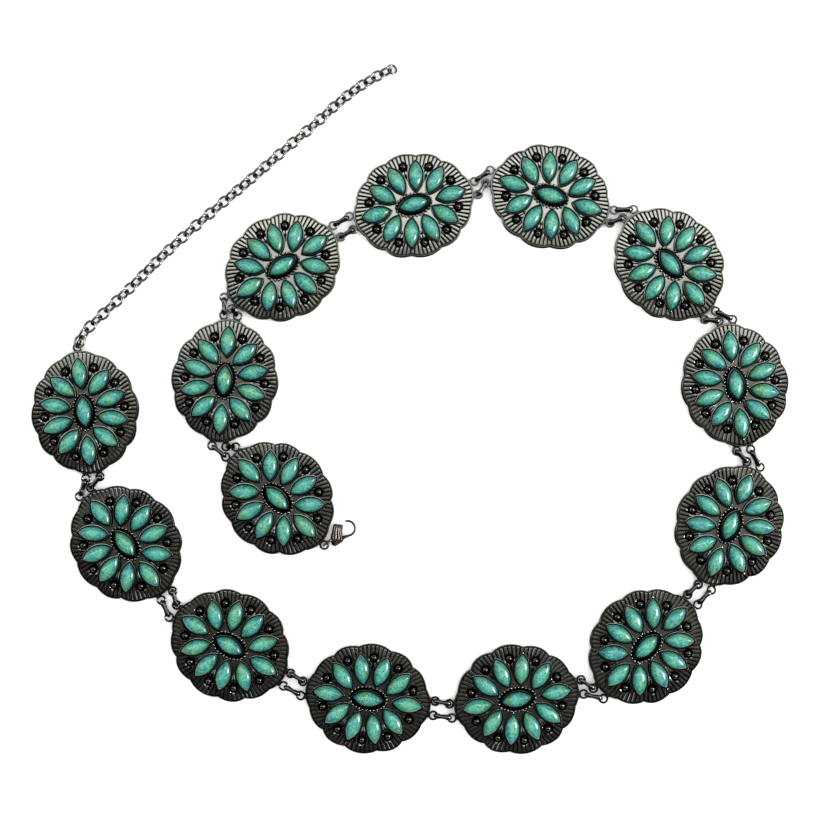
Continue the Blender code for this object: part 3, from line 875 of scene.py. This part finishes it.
def add_world():
    """Even white light, and for gloss a dim room with one bright window behind the belt."""
    world = bpy.data.worlds.new("studio")
    bpy.context.scene.world = world
    world.use_nodes = True
    tree = world.node_tree
    background = tree.nodes["Background"]
    direction = tree.nodes.new("ShaderNodeTexCoord").outputs["Generated"]
    split = tree.nodes.new("ShaderNodeSeparateXYZ")
    tree.links.new(direction, split.inputs[0])
    spans = []
    for axis in ("X", "Y"):
        scaled = node(tree, "ShaderNodeMapRange")
        scaled.inputs["From Min"].default_value = -0.5
        scaled.inputs["From Max"].default_value = 0.5
        tree.links.new(split.outputs[axis], scaled.inputs["Value"])
        spans.append(scaled.outputs["Result"])
    depth = ramp(tree, spans[1], (
        (0.10, (0.020, 0.019, 0.017)),
        (0.375, (0.016, 0.015, 0.013)),
        (0.41, (0.032, 0.030, 0.026)),
        (0.46, (0.095, 0.091, 0.078)),
        (0.60, (0.120, 0.118, 0.102)),
        (0.90, (0.030, 0.030, 0.030)),
    ))
    window = ramp(tree, spans[1], (
        (0.630, (0.0, 0.0, 0.0)),
        (0.662, (0.26, 0.28, 0.27)),
        (0.685, (0.80, 0.85, 0.82)),
        (0.73, (0.95, 1.00, 0.96)),
        (0.80, (0.90, 0.90, 0.90)),
        (0.92, (0.05, 0.05, 0.05)),
    ))
    width = grey_ramp(
        tree, spans[0], (0.10, 0.10), (0.30, 0.20), (0.50, 0.60), (0.70, 1.05), (0.95, 0.3)
    )
    gloss = mix(tree, tree.nodes.new("ShaderNodeLightPath").outputs["Is Glossy Ray"],
                (0.84, 0.84, 0.84), multiply_add(tree, depth, width, window))
    tree.links.new(gloss, background.inputs["Color"])
    background.inputs["Strength"].default_value = 2.0


def add_light(name, place, size, energy):
    """A soft rectangular light that faces the middle of the scene."""
    light = bpy.data.lights.new(name, "AREA")
    light.shape = "RECTANGLE"
    light.size, light.size_y = size
    light.energy = energy
    obj = bpy.data.objects.new(name, light)
    obj.location = place
    obj.rotation_euler = Vector(place).to_track_quat("Z", "Y").to_euler()
    bpy.context.scene.collection.objects.link(obj)


CAMERA_TARGET = Vector((-0.09, -3.10, 0.0)) * MM
CAMERA_ELEVATION = math.radians(85.25)
CAMERA_DISTANCE = 590.0 * MM
CAMERA_LENS = 64.63


def add_camera():
    """The photo's viewing angle: from almost straight above, a little from the front."""
    camera = bpy.data.cameras.new("camera")
    camera.sensor_width = 36.0
    camera.lens = CAMERA_LENS
    obj = bpy.data.objects.new("camera", camera)
    toward = Vector((0.0, -math.cos(CAMERA_ELEVATION), math.sin(CAMERA_ELEVATION)))
    obj.location = CAMERA_TARGET + CAMERA_DISTANCE * toward
    obj.rotation_euler = toward.to_track_quat("Z", "Y").to_euler()
    bpy.context.scene.collection.objects.link(obj)
    bpy.context.scene.camera = obj


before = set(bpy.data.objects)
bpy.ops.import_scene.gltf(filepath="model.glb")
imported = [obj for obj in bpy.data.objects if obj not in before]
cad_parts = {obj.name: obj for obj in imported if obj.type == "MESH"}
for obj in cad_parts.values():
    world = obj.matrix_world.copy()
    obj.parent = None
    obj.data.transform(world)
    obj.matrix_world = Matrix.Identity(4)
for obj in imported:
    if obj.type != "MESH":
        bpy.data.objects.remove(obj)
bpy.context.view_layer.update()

poses = medallion_poses()
plate_metal = gunmetal("medallion_plating", (0.38, 0.38, 0.35), (0.004, 0.004, 0.004), 0.15)
wire_metal = gunmetal("link_plating", (0.20, 0.20, 0.19), (0.006, 0.006, 0.006), 0.14)
hook_metal = gunmetal("hook_plating", (0.20, 0.18, 0.15), (0.006, 0.006, 0.006), 0.24)
chain_metal = gunmetal("chain_plating", (0.42, 0.41, 0.39), (0.005, 0.005, 0.005), 0.15)
add_medallions(poses, plate_metal, turquoise())
add_links(wire_metal)
add_hook(poses[0], hook_metal)
chain_end = add_chain(poses[-1], chain_metal)
add_rings(chain_metal, chain_end)

add_floor()
add_world()
add_light("window", (0.70, -0.06, 0.55), (0.26, 0.34), 4.5)
add_camera()
bpy.context.scene.view_settings.view_transform = "Standard"
